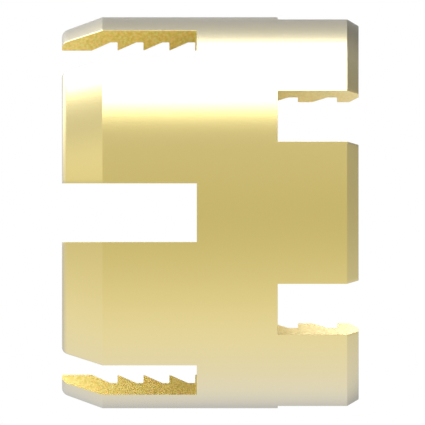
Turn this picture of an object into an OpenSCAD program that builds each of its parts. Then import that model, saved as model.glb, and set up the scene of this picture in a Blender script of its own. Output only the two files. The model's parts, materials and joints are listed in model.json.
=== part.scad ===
// Compression sleeve: the split gripping ring of a compression fitting for plastic pipe.
// One brass piece, turned and bored from bar, then slotted from both ends.
// It stands on its blunt end. The axis is Z, the blunt face is at z = 0 and the nose points up.
// The pipe comes in at the blunt end. The steep side of every tooth faces the nose, so a pull
// on the pipe digs the teeth in, while the nut drives the nose into the fitting's cone.

/* [Body] */
// Outside diameter of the body
body_d = 29; // [28.6:0.1:32]
// Length from the blunt face to the nose face
body_length = 22; // [22:0.5:30]
// Diameter of the bore across the tips of the teeth
bore_d = 25.6; // [24:0.1:25.8]
// Height of every tooth above the floor of the groove beside it
tooth_height = 0.7; // [0.3:0.05:0.8]

/* [Nose] */
// Angle between the nose taper and the axis, in degrees
taper_angle = 20; // [12:1:22]
// Length of the nose taper along the axis
taper_length = 3; // [1.5:0.25:3]
// Radius on the outer edge of the nose face
nose_edge_r = 0.6; // [0.1:0.05:0.6]

/* [Blunt end] */
// Angle between the outer chamfer and the axis, in degrees
chamfer_angle = 30; // [15:1:35]
// Length of the outer chamfer along the axis
chamfer_length = 0.85; // [0.3:0.05:0.9]
// Leg of the 45 degree lead-in at the mouth of the bore
lead_in = 0.7; // [0.2:0.05:0.7]

/* [Sharp teeth in the nose] */
// Number of sharp teeth
sharp_count = 4; // [1:1:4]
// Distance from one sharp tooth to the next
sharp_pitch = 1.92; // [1.4:0.02:2.1]
// Length of the groove floor in front of each sharp tooth
sharp_floor = 0.52; // [0.2:0.02:0.6]
// Plain length of bore between the nose face and the first groove
nose_land = 2.2; // [1:0.1:2.5]

/* [Flat teeth in the blunt end] */
// Number of flat teeth
flat_count = 3; // [1:1:3]
// Distance from one flat tooth to the next
flat_pitch = 2.9; // [2.4:0.05:3]
// Length of the flat crest of each flat tooth
flat_crest = 1.05; // [0.4:0.05:1.2]
// Length of the groove floor in front of each flat tooth
flat_floor = 0.7; // [0.3:0.05:0.8]
// Height of the first steep side above the blunt face
first_steep_z = 1.6; // [1:0.1:1.6]

/* [Slots] */
// Number of slots in each end, those of one end halfway between those of the other
slot_count = 6; // [4:1:8]
// Width of every slot
slot_w = 4.35; // [2:0.05:5]
// Depth of the slots in the nose
nose_slot_depth = 10; // [6:0.5:11]
// Depth of the slots in the blunt end
blunt_slot_depth = 6; // [4:0.5:8]

/* [Hidden] */
$fn = 180;
brass = [0.84, 0.77, 0.48];
body_r = body_d / 2;
crest_r = bore_d / 2;
floor_r = crest_r + tooth_height;
blunt_face_r = body_r - chamfer_length * tan(chamfer_angle);
// Where the taper would meet the nose face if its edge were sharp
nose_face_r = body_r - taper_length * tan(taper_angle);
// Centre of the nose edge, which touches both the taper and the nose face
nose_edge_centre = [
    nose_face_r + nose_edge_r * (tan(taper_angle) - 1 / cos(taper_angle)),
    body_length - nose_edge_r
];
nose_edge_steps = 8;
first_sharp_z = body_length - nose_land - sharp_count * sharp_pitch;
slot_spacing = 360 / slot_count;
// How far a cutting tool runs past the metal
overrun = 1;

// Points of an arc in the profile plane, from one angle to the other about its centre
function arc(centre, r, from, to, steps) = [
    for (i = [0 : steps])
        centre + r * [cos(from + (to - from) * i / steps), sin(from + (to - from) * i / steps)]
];

// Points of one groove: up the steep side, along the floor and back down the ramp to the crest
function groove(steep_z, floor_length, ramp_length) = [
    [floor_r, steep_z],
    [floor_r, steep_z + floor_length],
    [crest_r, steep_z + floor_length + ramp_length]
];

// Sharp teeth stand pitch to pitch, so each ramp ends at the next tooth's tip
sharp_grooves = [
    for (i = [0 : sharp_count - 1])
        each groove(first_sharp_z + i * sharp_pitch, sharp_floor, sharp_pitch - sharp_floor)
];

// Flat teeth have a crest between the end of a ramp and the next steep side
flat_grooves = [
    for (i = [0 : flat_count - 1])
        let (steep_z = first_steep_z + i * flat_pitch)
            each concat(
                [[crest_r, steep_z]],
                groove(steep_z, flat_floor, flat_pitch - flat_floor - flat_crest)
            )
];

// The bar as turned outside: blunt chamfer, body and tapered nose
module turned_blank() {
    rotate_extrude()
        polygon(concat(
            [
                [0, 0],
                [blunt_face_r, 0],
                [body_r, chamfer_length],
                [body_r, body_length - taper_length]
            ],
            arc(nose_edge_centre, nose_edge_r, taper_angle, 90, nose_edge_steps),
            [[0, body_length]]
        ));
}

// The space inside the sleeve: lead-in, flat teeth, plain middle, sharp teeth and nose land
module toothed_bore() {
    rotate_extrude()
        polygon(concat(
            [
                [0, -overrun],
                [crest_r + lead_in, -overrun],
                [crest_r + lead_in, 0],
                [crest_r, lead_in]
            ],
            flat_grooves,
            [[crest_r, first_sharp_z]],
            sharp_grooves,
            [
                [crest_r, body_length + overrun],
                [0, body_length + overrun]
            ]
        ));
}

// A ring of slots cut inwards through the wall, the first at first_angle from the X axis
module slot_ring(bottom_z, height, first_angle) {
    for (i = [0 : slot_count - 1])
        rotate([0, 0, first_angle + i * slot_spacing])
            translate([0, -slot_w / 2, bottom_z])
                cube([body_r + overrun, slot_w, height]);
}

module compression_sleeve() {
    color(brass)
        difference() {
            turned_blank();
            toothed_bore();
            slot_ring(body_length - nose_slot_depth, nose_slot_depth + overrun, slot_spacing / 2);
            slot_ring(-overrun, blunt_slot_depth + overrun, 0);
        }
}

compression_sleeve();
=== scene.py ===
"""Looks of the compression sleeve: one turned, toothed and slotted brass ring on a pale studio floor."""

import json
import math

import bpy
import numpy as np
from mathutils import Matrix, Vector


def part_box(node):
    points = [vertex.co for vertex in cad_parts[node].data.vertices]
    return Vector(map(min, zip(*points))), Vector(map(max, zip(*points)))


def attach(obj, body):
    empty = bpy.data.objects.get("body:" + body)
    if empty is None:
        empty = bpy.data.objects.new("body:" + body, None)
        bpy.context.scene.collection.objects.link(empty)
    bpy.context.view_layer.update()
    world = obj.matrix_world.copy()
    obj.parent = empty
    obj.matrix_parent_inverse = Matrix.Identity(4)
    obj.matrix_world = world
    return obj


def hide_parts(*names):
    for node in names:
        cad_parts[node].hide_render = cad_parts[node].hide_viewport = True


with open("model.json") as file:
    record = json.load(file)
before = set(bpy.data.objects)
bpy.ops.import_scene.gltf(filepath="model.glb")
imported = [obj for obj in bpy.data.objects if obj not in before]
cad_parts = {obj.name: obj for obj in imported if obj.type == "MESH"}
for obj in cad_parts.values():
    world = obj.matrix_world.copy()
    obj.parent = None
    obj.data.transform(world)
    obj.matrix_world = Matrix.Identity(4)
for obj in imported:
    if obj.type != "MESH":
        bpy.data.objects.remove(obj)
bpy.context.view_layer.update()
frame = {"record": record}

MM = 0.001

# Sizes that the frame gives
MOUNTS = {mount["name"]: mount for mount in frame["record"]["mounts"]}
SEAT_Z = MOUNTS["body_seat"]["pos_m"][2]
SEAT_LENGTH = MOUNTS["body_seat"]["dims"]["length_mm"] * MM
BODY_R = MOUNTS["body_seat"]["dims"]["r_mm"] * MM
CREST_R = MOUNTS["pipe_grip"]["dims"]["r_mm"] * MM
NODE_LOW, NODE_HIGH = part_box("compression_sleeve")
LENGTH = NODE_HIGH.z - NODE_LOW.z
CHAMFER_TOP_Z = SEAT_Z - SEAT_LENGTH / 2
TAPER_Z = SEAT_Z + SEAT_LENGTH / 2

# Sizes of the turned outside
TAPER_ANGLE = math.radians(20)
CHAMFER_ANGLE = math.radians(30)
NOSE_EDGE_R = 0.6 * MM

# Sizes of the bore: lead-in, flat teeth in the blunt end and sharp teeth in the nose
LEAD_IN = 0.7 * MM
GROOVE_R = CREST_R + 0.7 * MM
FLAT_COUNT = 3
FLAT_PITCH = 2.9 * MM
FLAT_FLOOR = 0.7 * MM
FLAT_CREST = 1.05 * MM
FIRST_STEEP_Z = 1.6 * MM
SHARP_COUNT = 4
SHARP_PITCH = 1.92 * MM
SHARP_FLOOR = 0.52 * MM
NOSE_LAND = 2.2 * MM

# Radii that a tool leaves on an edge or in a corner, each drawn in this many steps
BROKEN_EDGE = 0.06 * MM
BLENDED_EDGE = 0.1 * MM
TOOTH_TIP = 0.045 * MM
GROOVE_ROOT = 0.08 * MM
ARC_STEPS = 4

# Slots: the blunt ones and the nose ones take turns round the ring, with a land after each.
# Their edges, where faces meet at a sharper turn than DEBURR_ABOVE, are lightly deburred.
SLOTS_ROUND = 12
SLOT_HALF = 4.35 / 2 * MM
BLUNT_SLOT_Z = 6 * MM
NOSE_SLOT_Z = LENGTH - 10 * MM
SLOT_COLUMNS = 12
LAND_COLUMNS = 10
SPAN_COLUMNS = SLOT_COLUMNS + LAND_COLUMNS
DEBURR = 0.012 * MM
DEBURR_STEPS = 2
DEBURR_ABOVE = math.radians(50)

# Finishes by material slot
TURNED, BORED, SAWN = range(3)


def rounded(corners, radii, steps):
    """A closed outline with each corner replaced by an arc that touches both of its sides.

    The arc's centre lies on the corner's bisector, at the radius divided by the sine of half the
    corner's angle. The arc turns in equal steps from where it touches one side to where it touches the
    other.
    """
    before = np.roll(corners, 1, axis=0) - corners
    after = np.roll(corners, -1, axis=0) - corners
    before /= np.linalg.norm(before, axis=1, keepdims=True)
    after /= np.linalg.norm(after, axis=1, keepdims=True)
    half = np.arccos(np.clip((before * after).sum(1), -1, 1))[:, None] / 2
    bisector = before + after
    bisector /= np.linalg.norm(bisector, axis=1, keepdims=True)
    radii = radii[:, None]
    centre = corners + bisector * radii / np.sin(half)
    start = corners + before * radii / np.tan(half) - centre
    end = corners + after * radii / np.tan(half) - centre
    cross = start[:, :1] * end[:, 1:] - start[:, 1:] * end[:, :1]
    turn = np.arctan2(cross, (start * end).sum(1, keepdims=True)) * np.linspace(0, 1, steps + 1)
    spun_r = start[:, :1] * np.cos(turn) - start[:, 1:] * np.sin(turn)
    spun_z = start[:, :1] * np.sin(turn) + start[:, 1:] * np.cos(turn)
    return (centre[:, None] + np.stack([spun_r, spun_z], axis=2)).reshape(-1, 2)


def with_crossings(outline, z):
    """The closed outline with a point added wherever it passes height z."""
    step = np.roll(outline, -1, axis=0) - outline
    rise = z - outline[:, 1]
    at = np.flatnonzero(rise * (rise - step[:, 1]) < 0)
    points = outline[at] + step[at] * (rise[at] / step[at, 1])[:, None]
    points[:, 1] = z
    return np.insert(outline, at + 1, points, axis=0)


def groove(steep_z, floor_length, ramp_length):
    """Corners of one groove as (radius, height, edge radius), from its top down.

    They are the ramp's end at the crest, both ends of the floor, and the tooth's tip below the steep
    side.
    """
    return [
        (CREST_R, steep_z + floor_length + ramp_length, TOOTH_TIP),
        (GROOVE_R, steep_z + floor_length, GROOVE_ROOT),
        (GROOVE_R, steep_z, GROOVE_ROOT),
        (CREST_R, steep_z, TOOTH_TIP),
    ]


def sleeve_outline():
    """The wall's outline as (radius, height) points: up the outside, over the nose and down the bore.

    A sharp tooth's ramp starts at the tip of the tooth above it, so only the topmost groove keeps the end
    of its ramp.
    """
    nose_face_r = BODY_R - (LENGTH - TAPER_Z) * math.tan(TAPER_ANGLE)
    blunt_face_r = BODY_R - CHAMFER_TOP_Z * math.tan(CHAMFER_ANGLE)
    first_sharp_z = LENGTH - NOSE_LAND - SHARP_COUNT * SHARP_PITCH
    corners = [
        (CREST_R + LEAD_IN, 0, BROKEN_EDGE),
        (blunt_face_r, 0, BROKEN_EDGE),
        (BODY_R, CHAMFER_TOP_Z, BLENDED_EDGE),
        (BODY_R, TAPER_Z, BLENDED_EDGE),
        (nose_face_r, LENGTH, NOSE_EDGE_R),
        (CREST_R, LENGTH, BROKEN_EDGE),
    ]
    for i in reversed(range(SHARP_COUNT)):
        sharp = groove(first_sharp_z + i * SHARP_PITCH, SHARP_FLOOR, SHARP_PITCH - SHARP_FLOOR)
        corners += sharp if i == SHARP_COUNT - 1 else sharp[1:]
    flat_ramp = FLAT_PITCH - FLAT_FLOOR - FLAT_CREST
    for i in reversed(range(FLAT_COUNT)):
        corners += groove(FIRST_STEEP_Z + i * FLAT_PITCH, FLAT_FLOOR, flat_ramp)
    corners.append((CREST_R, LEAD_IN, TOOTH_TIP))
    corners = np.array(corners)
    outline = rounded(corners[:, :2], corners[:, 2], ARC_STEPS)
    return with_crossings(with_crossings(outline, BLUNT_SLOT_Z), NOSE_SLOT_Z)


def column_places():
    """Where each column of vertices stands round the ring, as a base angle and a lean.

    A column's angle at radius r is base + lean * asin(half slot width / r). The lean runs from -1 to 1
    across a slot, so that its two walls are flat. It runs from 1 back to -1 across a land, while the base
    angle turns to the next slot.
    """
    across = np.arange(SLOT_COLUMNS) / SLOT_COLUMNS
    along = np.arange(LAND_COLUMNS) / LAND_COLUMNS
    spacing = 2 * math.pi / SLOTS_ROUND
    base = np.concatenate([np.zeros(SLOT_COLUMNS), along * spacing])
    lean = np.concatenate([2 * across - 1, 1 - 2 * along])
    base = (np.arange(SLOTS_ROUND)[:, None] * spacing + base).ravel()
    return base, np.tile(lean, SLOTS_ROUND)


def mesh_of(vertices, quads, walls, finishes):
    """A smooth mesh of quads and then many-sided walls, without the vertices that no face uses."""
    sizes = np.concatenate([np.full(len(quads), 4), [len(wall) for wall in walls]])
    used, corners = np.unique(np.concatenate([quads.ravel(), *walls]), return_inverse=True)
    mesh = bpy.data.meshes.new("sleeve")
    mesh.vertices.add(len(used))
    mesh.vertices.foreach_set("co", vertices[used].ravel())
    mesh.loops.add(len(corners))
    mesh.loops.foreach_set("vertex_index", corners)
    mesh.polygons.add(len(sizes))
    mesh.polygons.foreach_set("loop_start", np.cumsum(sizes) - sizes)
    mesh.polygons.foreach_set("material_index", finishes)
    mesh.polygons.foreach_set("use_smooth", np.ones(len(sizes), bool))
    mesh.update(calc_edges=True)
    return mesh


def sleeve_mesh():
    """The whole sleeve as one closed mesh: the outline carried round the axis, with open, walled slots.

    Vertex (column, point) stands at the point's radius and height and at the column's angle. Quads join
    neighbours, apart from those inside a slot. A slot's end is a strip from the outside to the bore.
    Each of its walls is one flat face, and its edge is the stretch of outline that the slot cuts through.
    """
    outline = sleeve_outline()
    radius, height = outline.T
    points = len(outline)
    base, lean = column_places()
    columns = len(base)
    angle = base[:, None] + lean[:, None] * np.arcsin(SLOT_HALF / radius)
    ring = [radius * np.cos(angle), radius * np.sin(angle), np.broadcast_to(height, angle.shape)]
    vertices = np.stack(ring, axis=2).reshape(-1, 3)

    def quad(column, point, next_column, next_point):
        """Faces between two columns and two points, whose numbers wrap round the ring and the outline."""
        here = column % columns * points
        there = next_column % columns * points
        point = point % points
        next_point = next_point % points
        return np.stack([here + point, there + point, there + next_point, here + next_point], axis=-1)

    column, point = np.meshgrid(np.arange(columns), np.arange(points), indexing="ij")
    skin = quad(column, point, column + 1, point + 1)
    next_height = np.roll(height, -1)
    in_blunt_slot = np.maximum(height, next_height) <= BLUNT_SLOT_Z
    in_nose_slot = np.minimum(height, next_height) >= NOSE_SLOT_Z
    slot, place = np.divmod(column, SPAN_COLUMNS)
    kept = (place >= SLOT_COLUMNS) | ~np.where(slot % 2 == 1, in_nose_slot, in_blunt_slot)
    nose_corner = np.abs(outline - (CREST_R, LENGTH)).sum(1).argmin()
    finish = np.where(point > nose_corner, BORED, TURNED)

    ends = []
    walls = []
    for slot in range(SLOTS_ROUND):
        nose = slot % 2 == 1
        outer, inner = np.flatnonzero(height == (NOSE_SLOT_Z if nose else BLUNT_SLOT_Z))
        first = slot * SPAN_COLUMNS
        last = first + SLOT_COLUMNS
        step = np.arange(first, last)
        ends.append(quad(step, outer, step + 1, inner) if nose else quad(step, inner, step + 1, outer))
        cut = np.arange(outer, inner + 1) if nose else np.arange(inner, outer + points + 1)
        walls += [(first * points + cut % points)[::-1], last * points + cut % points]
    quads = np.concatenate([skin[kept], *ends])
    sawn = np.full(len(quads) + len(walls) - kept.sum(), SAWN)
    return mesh_of(vertices, quads, walls, np.concatenate([finish[kept], sawn]))


class Socket:
    """An output of a shader node. Operators on it add the Math nodes that work the result out."""

    def __init__(self, tree, link=None):
        self.tree = tree
        self.link = link

    def node(self, kind, settings=None, inputs=None, output=0):
        """Adds a node of any kind and gives one of its outputs.

        The node's settings are set first. Then its inputs get their numbers, colours, vectors or links.
        """
        made = self.tree.nodes.new(kind)
        for name, value in (settings or {}).items():
            setattr(made, name, value)
        for name, value in (inputs or {}).items():
            target = made.inputs[name]
            if isinstance(value, Socket):
                self.tree.links.new(value.link, target)
            elif target.type == "RGBA":
                target.default_value = (*value, 1)
            else:
                target.default_value = value
        return Socket(self.tree, made.outputs[output] if made.outputs else None)

    def maths(self, operation, *values):
        """Adds a Math node that works on these numbers and sockets."""
        return self.node("ShaderNodeMath", {"operation": operation}, dict(enumerate(values)))

    def __add__(self, other):
        return self.maths("ADD", self, other)

    def __sub__(self, other):
        return self.maths("SUBTRACT", self, other)

    def __rsub__(self, other):
        return self.maths("SUBTRACT", other, self)

    def __mul__(self, other):
        return self.maths("MULTIPLY", self, other)

    def __truediv__(self, other):
        return self.maths("DIVIDE", self, other)

    __radd__ = __add__
    __rmul__ = __mul__

    def clamped(self):
        """The value held within 0 and 1."""
        return self.node("ShaderNodeClamp", inputs={"Value": self})


def empty_tree(owner):
    """The node tree of a material or a world, cleared and wrapped so that nodes can be added to it."""
    owner.use_nodes = True
    owner.node_tree.nodes.clear()
    return Socket(owner.node_tree)


def mixed(factor, first, second):
    """The colour that is first at factor 0 and second at factor 1."""
    return factor.node("ShaderNodeMix", {"data_type": "RGBA"}, {0: factor, 6: first, 7: second}, output=2)


def noise(own, per_mm, detail=2.0, roughness=0.5):
    """Soft noise round 0.5, with this many features to the millimetre."""
    inputs = {"Vector": own, "Scale": per_mm, "Detail": detail, "Roughness": roughness}
    return own.node("ShaderNodeTexNoise", inputs=inputs)


def blotches(own, per_mm, contrast, cover, roughness=0.5):
    """Soft-edged patches: (noise - 0.5) * contrast + cover, held within 0 and 1."""
    return (noise(own, per_mm, roughness=roughness) * contrast + (cover - contrast / 2)).clamped()


def between(factor, low, high):
    """The number that is low at factor 0 and high at factor 1."""
    return low + factor * (high - low)


# Brass seen square on, its paler gloss at a glancing angle, and the raw metal of the bore and the cuts
BRASS = (0.62, 0.505, 0.172)
BRASS_DEEP = (0.585, 0.465, 0.145)
GLANCING = (0.744, 0.707, 0.605)
BORED_PALE = (0.8, 0.67, 0.26)
BORED_DEEP = (0.73, 0.6, 0.21)
SAWN_GREENISH = (0.78, 0.745, 0.26)
SAWN_ORANGE = (0.9, 0.635, 0.215)
SAWN_DEEP = (0.66, 0.51, 0.05)

# How far the patches in each finish go towards its deeper colour
TURNED_DEPTH = 0.3
BORED_DEPTH = 0.4
SAWN_DEPTH = 0.9

# Roughness of each finish where it is smoothest and where it is roughest, and the height of its grain
TURNED_ROUGHNESS = (0.215, 0.285)
BORED_ROUGHNESS = (0.25, 0.4)
SAWN_ROUGHNESS = (0.28, 0.38)
TURNED_GRAIN = 0.004 * MM
BORED_GRAIN = 0.008 * MM
SAWN_GRAIN = 0.004 * MM

# How far away the sawn finish reads its second noise, so that hue and depth don't change together
NOISE_SHIFT = (40, 40, 40)


def new_finish(name):
    """A new material, and the sleeve's own coordinates in it, in millimetres."""
    material = bpy.data.materials.new(name)
    tree = empty_tree(material)
    own = tree.node("ShaderNodeTexCoord", output="Object")
    scaled = tree.node("ShaderNodeVectorMath", {"operation": "SCALE"}, {0: own, "Scale": 1 / MM})
    return material, scaled


def lay_brass(tint, roughness, grain, grain_height):
    """Ends a finish: grained metal that has its tint square on and turns paler at a glancing angle.

    The two mix by facing, which is 1 - the cosine of the angle between the surface's normal and the view.
    """
    relief = {"Strength": 1.0, "Distance": grain_height, "Height": grain}
    bump = grain.node("ShaderNodeBump", inputs=relief)
    shared = {"Metallic": 1.0, "Roughness": roughness, "Normal": bump}
    square_on = grain.node("ShaderNodeBsdfPrincipled", inputs={"Base Color": tint, **shared})
    glancing = grain.node("ShaderNodeBsdfPrincipled", inputs={"Base Color": GLANCING, **shared})
    facing = grain.node("ShaderNodeLayerWeight", inputs={"Normal": bump}, output="Facing")
    surface = grain.node("ShaderNodeMixShader", inputs={0: facing, 1: square_on, 2: glancing})
    grain.node("ShaderNodeOutputMaterial", inputs={"Surface": surface})


def turned_brass():
    """Satin turned brass: fine grain and a slow change of tint."""
    material, own = new_finish("turned_brass")
    patches = blotches(own, per_mm=0.12, contrast=1.2, cover=0.25)
    tint = mixed(patches * TURNED_DEPTH, BRASS, BRASS_DEEP)
    roughness = between(noise(own, per_mm=6.0, roughness=0.6), *TURNED_ROUGHNESS)
    lay_brass(tint, roughness, grain=noise(own, per_mm=9.0, detail=1.0), grain_height=TURNED_GRAIN)
    return material


def bored_brass():
    """Raw brass inside the bore: brighter than the outside and rougher, as the form tool leaves it."""
    material, own = new_finish("bored_brass")
    patches = blotches(own, per_mm=6.0, contrast=1.5, cover=0.45)
    tint = mixed(patches * BORED_DEPTH, BORED_PALE, BORED_DEEP)
    roughness = between(noise(own, per_mm=6.0), *BORED_ROUGHNESS)
    lay_brass(tint, roughness, grain=noise(own, per_mm=6.0), grain_height=BORED_GRAIN)
    return material


def sawn_brass():
    """Freshly sawn brass in the slots: raw, deep in colour and speckled from greenish to orange."""
    material, own = new_finish("sawn_brass")
    hue = blotches(own, per_mm=3.5, contrast=3.5, cover=0.5, roughness=0.6)
    elsewhere = own.node("ShaderNodeVectorMath", {"operation": "ADD"}, {0: own, 1: NOISE_SHIFT})
    patches = blotches(elsewhere, per_mm=5.0, contrast=3.5, cover=0.4, roughness=0.6)
    tint = mixed(patches * SAWN_DEPTH, mixed(hue, SAWN_GREENISH, SAWN_ORANGE), SAWN_DEEP)
    roughness = between(noise(own, per_mm=4.0), *SAWN_ROUGHNESS)
    lay_brass(tint, roughness, grain=noise(own, per_mm=5.0), grain_height=SAWN_GRAIN)
    return material


def make_sleeve():
    """The sleeve as a piece: its mesh, its three finishes and a deburred edge round every slot."""
    mesh = sleeve_mesh()
    piece = bpy.data.objects.new("sleeve", mesh)
    bpy.context.scene.collection.objects.link(piece)
    for material in (turned_brass(), bored_brass(), sawn_brass()):
        mesh.materials.append(material)
    bevel = piece.modifiers.new("deburred", "BEVEL")
    bevel.width = DEBURR
    bevel.segments = DEBURR_STEPS
    bevel.limit_method = "ANGLE"
    bevel.angle_limit = DEBURR_ABOVE
    bevel.material = TURNED
    piece.modifiers.new("normals", "WEIGHTED_NORMAL")
    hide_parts("compression_sleeve")
    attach(piece, "root")


# Camera: square on to the side of the sleeve and rolled so that its nose is on the left
VIEW_WIDTH = 31.52 * MM
VIEW_CENTRE_X = 0.015 * MM
VIEW_CENTRE_Z = 10.836 * MM
CAMERA_BACK = 100 * MM
CLIP_START = 1 * MM
CLIP_END = 1000 * MM


def make_camera():
    """The camera looks along +Y without perspective. On the picture -Z is to the right and +X is up."""
    data = bpy.data.cameras.new("camera")
    data.type = "ORTHO"
    data.ortho_scale = VIEW_WIDTH
    data.clip_start = CLIP_START
    data.clip_end = CLIP_END
    camera = bpy.data.objects.new("camera", data)
    bpy.context.scene.collection.objects.link(camera)
    right, up, back = Vector((0, 0, -1)), Vector((1, 0, 0)), Vector((0, -1, 0))
    turn = Matrix((right, up, back)).transposed().to_4x4()
    camera.matrix_world = Matrix.Translation((VIEW_CENTRE_X, -CAMERA_BACK, VIEW_CENTRE_Z)) @ turn
    bpy.context.scene.camera = camera


# Floor: a round sheet of pale paper just under the sleeve, which fades out between two distances
FLOOR_R = 400 * MM
FLOOR_SIDES = 64
FLOOR_Z = -0.01 * MM
PAPER = (0.78, 0.78, 0.78)
PAPER_ROUGHNESS = 0.9
PAPER_GLOW = 0.13
FADE_START = 22 * MM
FADE_END = 60 * MM

# Lamps: a soft one over the sleeve's shoulder, and a narrow one that lights the floor inside the bore
SOFT_LAMP_TOWARDS = (-0.82, -0.32, 0.75)
SOFT_LAMP_DISTANCE = 600 * MM
SOFT_LAMP_SIDE = 400 * MM
SOFT_LAMP_RADIANCE = 7.0
BORE_SPOT_DISTANCE = 589 * MM
BORE_SPOT_REACH = 12.6 * MM
BORE_SPOT_POWER = 8.0
BORE_SPOT_SIZE = 10 * MM
BORE_SPOT_BLEND = 0.2

# The key is a big bright window in the gloss, an ellipse of directions on the +X side
KEY_STRENGTH = 5.0
KEY_Y = 0.026
KEY_LEAN = 0.46
KEY_HALF_WIDTH = 0.43
KEY_HALF_HEIGHT = 0.55
KEY_OUTER = 1.6
KEY_INNER = 0.45
KEY_BACK = (0.0, 0.1)
KEY_FOOT = (-0.5, -0.1)
KEY_FAR_LEAN = 2.0
KEY_FAR = (0.7, 0.5)

# What else the gloss shows: a plain level, and soft lights and dark cards round the sleeve, each as
# (direction, spread in degrees, strength)
GLOSS_LEVEL = 0.84
SOFT_LIGHTS = [
    # Beside the sleeve
    ((-1, -0.27, 0.28), 55, 0.42),
    ((0.9, -0.35, 0.27), 8, 3.4),
    ((-0.8, 0.6, 0), 16, 0.07),
    # Above it
    ((0.42, -0.8, 0.46), 22, 0.44),
    ((0.53, -0.6, 0.6), 10, 0.12),
    ((0.587, 0.492, 0.643), 20, 2.0),
    ((0.32, 0.6, 0.73), 12, 0.5),
    ((0.64, 0.08, 0.76), 9, 0.5),
    ((0.45, 0.03, 0.89), 15, 0.45),
    ((0.3, -0.22, 0.93), 15, 0.32),
]
DARK_CARDS = [
    # Behind the sleeve and a little below
    ((0.5, 0.84, -0.2), 23, 0.44),
    ((-0.1, 0.95, -0.3), 25, 0.58),
    ((0.59, 0.715, -0.38), 14, 0.14),
    # Below it
    ((0.74, 0.22, -0.63), 28, 0.44),
    ((0.15, -0.42, -0.88), 38, 0.22),
    # Above it
    ((0.76, -0.33, 0.56), 8, 0.12),
    ((-0.12, 0.72, 0.68), 22, 0.2),
]

# World's strength: as soft daylight on surfaces, and as the backdrop itself
DAYLIGHT = 0.3
BACKDROP = 1.0
WHITE = (1, 1, 1)


def smooth_step(value, start, end):
    """0 up to start and 1 from end on, with a smooth change between them. start may be the greater."""
    inputs = {"Value": value, "From Min": start, "From Max": end}
    return value.node("ShaderNodeMapRange", {"interpolation_type": "SMOOTHSTEP"}, inputs)


def glow(direction, axis, spread):
    """A soft spot of light round an axis: exp((cosine - 1) / (1 - cos(spread))).

    The cosine is that of the angle from the axis, so the light is 1 on the axis and 1 / e at its spread.
    """
    inputs = {0: direction, 1: Vector(axis).normalized()}
    cosine = direction.node("ShaderNodeVectorMath", {"operation": "DOT_PRODUCT"}, inputs, output="Value")
    return cosine.maths("EXPONENT", (cosine - 1) / (1 - math.cos(math.radians(spread))))


def key_light(direction):
    """The key: 1 well inside its ellipse of directions and 0 well outside it.

    The ellipse's centre is at y = KEY_Y + KEY_LEAN * z. The squared distance from it, in half widths and
    half heights, makes the light fall off smoothly from KEY_INNER to KEY_OUTER. Smooth steps in x, in z
    and in y - KEY_FAR_LEAN * z end its back, its foot and the far side of its foot.
    """
    x, y, z = [
        direction.node("ShaderNodeSeparateXYZ", inputs={"Vector": direction}, output=axis)
        for axis in "XYZ"
    ]
    across = (y - z * KEY_LEAN - KEY_Y) / KEY_HALF_WIDTH
    up = z / KEY_HALF_HEIGHT
    ellipse = smooth_step(across * across + up * up, KEY_OUTER, KEY_INNER)
    far = smooth_step(y - z * KEY_FAR_LEAN, *KEY_FAR)
    return ellipse * far * smooth_step(x, *KEY_BACK) * smooth_step(z, *KEY_FOOT)


def make_floor():
    """A pale round sheet that keeps the sleeve's shadow and fades into the backdrop away from it."""
    turn = np.linspace(0, 2 * math.pi, FLOOR_SIDES, endpoint=False)
    height = np.full(FLOOR_SIDES, FLOOR_Z)
    rim = np.stack([FLOOR_R * np.cos(turn), FLOOR_R * np.sin(turn), height], axis=1)
    mesh = bpy.data.meshes.new("studio_floor")
    mesh.from_pydata(rim, [], [range(FLOOR_SIDES)])
    floor = bpy.data.objects.new("studio_floor", mesh)
    bpy.context.scene.collection.objects.link(floor)
    floor.visible_glossy = False
    paper = bpy.data.materials.new("studio_paper")
    tree = empty_tree(paper)
    sheet = tree.node(
        "ShaderNodeBsdfPrincipled",
        inputs={
            "Base Color": PAPER,
            "Roughness": PAPER_ROUGHNESS,
            "Specular IOR Level": 0.0,
            "Emission Color": WHITE,
            "Emission Strength": PAPER_GLOW,
        },
    )
    own = tree.node("ShaderNodeTexCoord", output="Object")
    away = tree.node("ShaderNodeVectorMath", {"operation": "LENGTH"}, {0: own}, output="Value")
    clear = tree.node("ShaderNodeBsdfTransparent")
    fade = smooth_step(away, FADE_START, FADE_END)
    faded = tree.node("ShaderNodeMixShader", inputs={0: fade, 1: sheet, 2: clear})
    tree.node("ShaderNodeOutputMaterial", inputs={"Surface": faded})
    mesh.materials.append(paper)


def place_lamp(data, towards, distance):
    """Stands a lamp this far from the sleeve's middle, facing it, and keeps it out of the gloss."""
    lamp = bpy.data.objects.new(data.name, data)
    bpy.context.scene.collection.objects.link(lamp)
    towards = Vector(towards).normalized()
    lamp.location = Vector((0, 0, LENGTH / 2)) + towards * distance
    lamp.rotation_euler = towards.to_track_quat("Z", "Y").to_euler()
    lamp.visible_glossy = False


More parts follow.
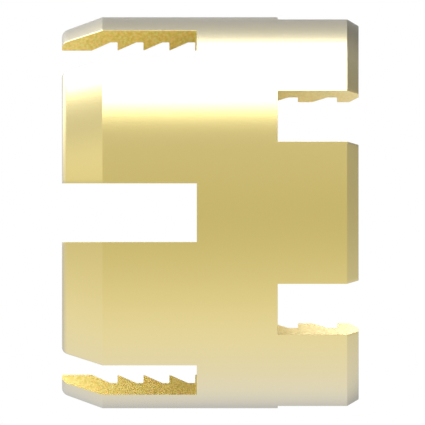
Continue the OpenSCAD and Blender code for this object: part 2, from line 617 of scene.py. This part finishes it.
def make_lamps():
    """The soft lamp, whose power is its radiance * pi * its area, and the narrow lamp over the bore."""
    soft = bpy.data.lights.new("soft_lamp", "AREA")
    soft.size = SOFT_LAMP_SIDE
    soft.energy = SOFT_LAMP_RADIANCE * math.pi * SOFT_LAMP_SIDE**2
    place_lamp(soft, SOFT_LAMP_TOWARDS, SOFT_LAMP_DISTANCE)
    spot = bpy.data.lights.new("bore_spot", "SPOT")
    spot.energy = BORE_SPOT_POWER
    spot.spot_size = 2 * math.atan(BORE_SPOT_REACH / (BORE_SPOT_DISTANCE + LENGTH / 2))
    spot.spot_blend = BORE_SPOT_BLEND
    spot.shadow_soft_size = BORE_SPOT_SIZE
    place_lamp(spot, (0, 0, 1), BORE_SPOT_DISTANCE)


def make_world():
    """The world: white behind everything, soft daylight on surfaces and the studio's lights in gloss.

    A glossy ray that comes from the camera's view of the metal sees the studio's lights. One that left a
    rough surface first sees plain daylight, so that the lights in the gloss don't also light the floor.
    The world isn't sampled as a lamp, because such a sample would never see what only gloss sees.
    """
    world = bpy.data.worlds.new("studio")
    bpy.context.scene.world = world
    world.cycles.sampling_method = "NONE"
    tree = empty_tree(world)
    direction = tree.node("ShaderNodeTexCoord", output="Generated")
    seen, glossy, through, bounces = [
        tree.node("ShaderNodeLightPath", output=output)
        for output in ("Is Camera Ray", "Is Glossy Ray", "Is Transmission Ray", "Diffuse Depth")
    ]
    gloss = GLOSS_LEVEL + key_light(direction) * KEY_STRENGTH
    for axis, spread, strength in SOFT_LIGHTS:
        gloss = gloss + glow(direction, axis, spread) * strength
    for axis, spread, strength in DARK_CARDS:
        gloss = gloss - glow(direction, axis, spread) * strength
    first_hand = glossy * (1 - bounces.clamped())
    backdrop = (seen + through).clamped() * (BACKDROP - DAYLIGHT)
    strength = DAYLIGHT + backdrop + (gloss - DAYLIGHT) * first_hand
    background = tree.node("ShaderNodeBackground", inputs={"Color": WHITE, "Strength": strength})
    tree.node("ShaderNodeOutputWorld", inputs={"Surface": background})


make_camera()
make_sleeve()
make_floor()
make_lamps()
make_world()
bpy.context.scene.view_settings.view_transform = "Standard"
